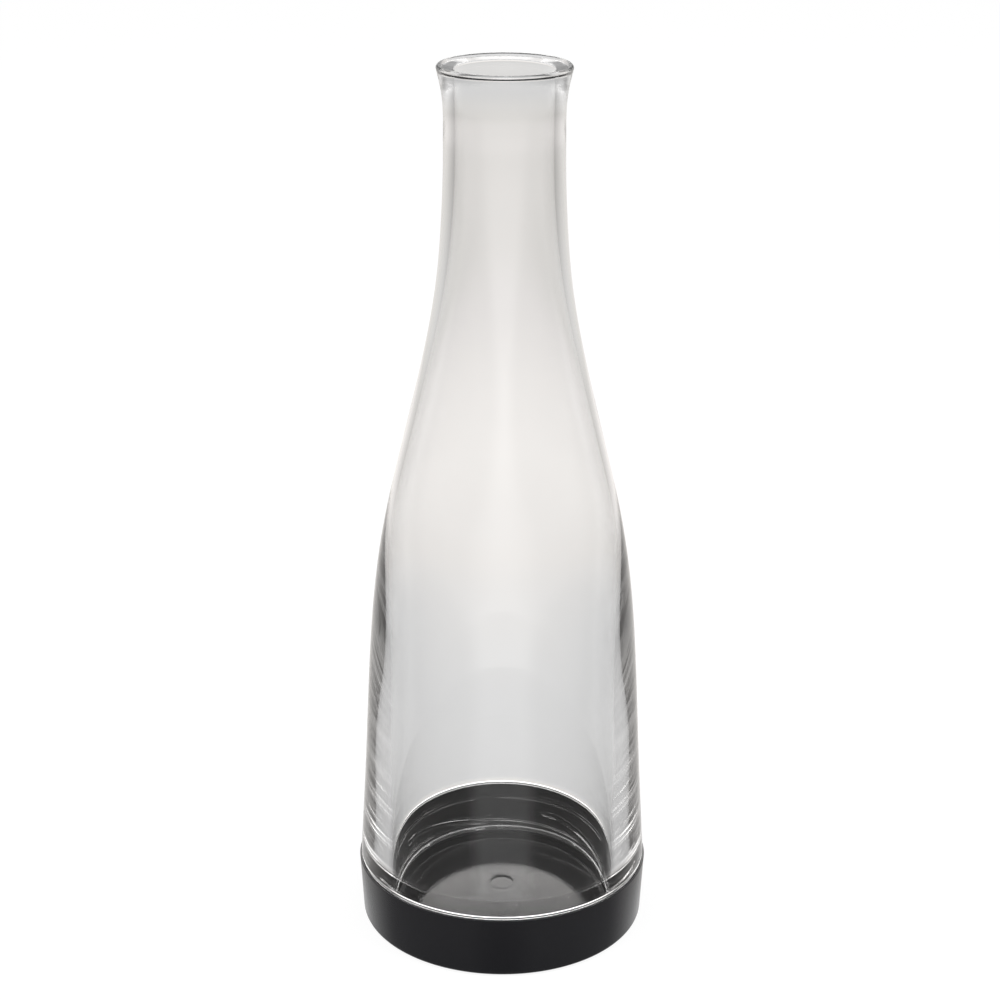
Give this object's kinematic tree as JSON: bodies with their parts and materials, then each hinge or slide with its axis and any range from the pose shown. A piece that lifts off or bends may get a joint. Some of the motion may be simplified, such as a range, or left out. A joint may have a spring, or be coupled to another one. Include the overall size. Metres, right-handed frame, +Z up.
{
  "type": "carafe",
  "caption": "Tall clear carafe with a bell-shaped body, slim flared neck and a dark cup that screws on as its bottom.",
  "frame": {"origin": "centre of the face that the carafe stands on", "axes": "+Z up along the axis of the carafe; round about Z, so X and Y are free"},
  "size_m": [0.0986, 0.0986, 0.2934],
  "materials": {
    "body": "clear, polished mould",
    "base": "satin, charcoal",
    "seal": "matt silicone, dark grey"
  },
  "bodies": {
    "base": {"screw_base": "base"},
    "ring": {"base_seal": "seal"},
    "carafe": {"carafe_body": "body"}
  },
  "joints": [
    {"name": "screw_turn", "type": "hinge", "parent": "base", "child": "ring", "pos_m": [0, 0, 0], "axis": [0, 0, 1], "range_deg": [0, 180]},
    {"name": "screw_lift", "type": "slide", "parent": "ring", "child": "carafe", "axis": [0, 0, 1], "range_m": [0, 0.0201]}
  ],
  "couplings": [
    {"joint": "screw_lift", "follows": "screw_turn", "m_per_rad": 0.0063662}
  ]
}
